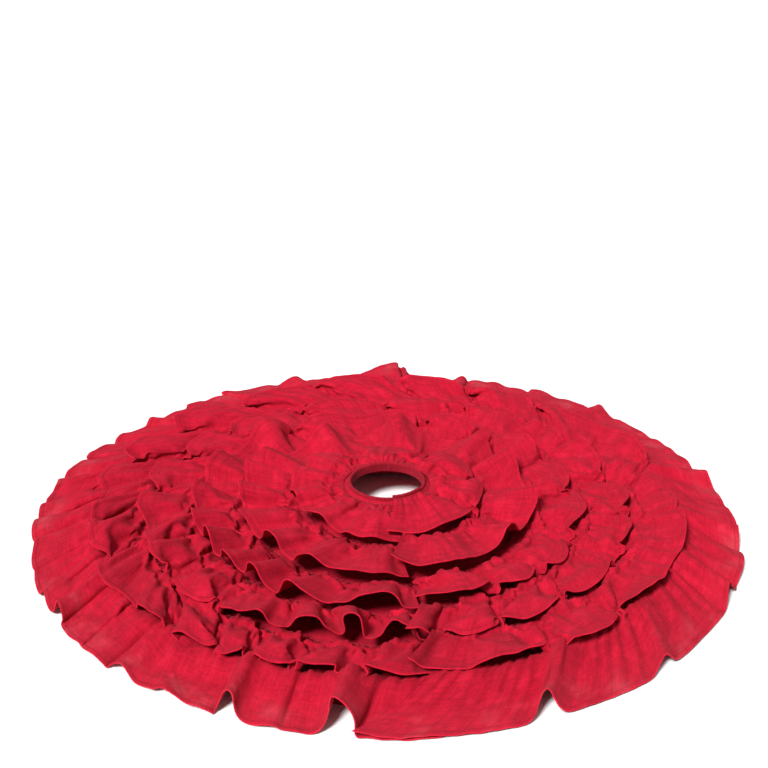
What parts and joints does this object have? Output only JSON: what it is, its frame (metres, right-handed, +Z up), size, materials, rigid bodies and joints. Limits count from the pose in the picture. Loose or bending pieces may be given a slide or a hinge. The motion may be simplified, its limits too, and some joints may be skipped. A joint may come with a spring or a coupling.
{
  "type": "tree skirt",
  "caption": "Round ruffled cloth tree skirt with tiered gathered frills, a bound neck opening and an overlapping slit.",
  "frame": {"origin": "on the floor, at the middle of the trunk opening", "axes": "+Z up through the trunk opening; the slit runs along -Y, and the front panel is on its +X side"},
  "size_m": [1.3719, 1.372, 0.1007],
  "materials": {
    "ruffle_cloth": "open plain weave, matt",
    "base_cloth": "plain weave, matt",
    "binding_tape": "bias tape, matt",
    "sewing_thread": "spun thread",
    "loop_tape": "brushed loop pile",
    "hook_tape": "moulded hooks"
  },
  "bodies": {
    "skirt": {"base_cloth": "base_cloth", "neck_binding": "binding_tape", "underlap_strip": "base_cloth", "loop_patches": "loop_tape", "ruffle_1": "ruffle_cloth", "ruffle_2": "ruffle_cloth", "ruffle_3": "ruffle_cloth", "ruffle_4": "ruffle_cloth", "ruffle_5": "ruffle_cloth", "ruffle_6": "ruffle_cloth", "gather_thread_1": "sewing_thread", "gather_thread_2": "sewing_thread", "gather_thread_3": "sewing_thread", "gather_thread_4": "sewing_thread", "gather_thread_5": "sewing_thread", "gather_thread_6": "sewing_thread"},
    "front_panel": {"front_panel_base": "base_cloth", "neck_binding_front": "binding_tape", "front_panel_facing": "base_cloth", "hook_patches": "hook_tape", "ruffle_1_front": "ruffle_cloth", "ruffle_2_front": "ruffle_cloth", "ruffle_3_front": "ruffle_cloth", "ruffle_4_front": "ruffle_cloth", "ruffle_5_front": "ruffle_cloth", "ruffle_6_front": "ruffle_cloth", "gather_thread_1_front": "sewing_thread", "gather_thread_2_front": "sewing_thread", "gather_thread_3_front": "sewing_thread", "gather_thread_4_front": "sewing_thread", "gather_thread_5_front": "sewing_thread", "gather_thread_6_front": "sewing_thread"}
  },
  "joints": [
    {"name": "front_panel_fold", "type": "hinge", "parent": "skirt", "child": "front_panel", "pos_m": [0.05362, -0.045, 0.105], "axis": [-0.7627, 0.64, 0.0937], "range_deg": [0, 160]}
  ]
}
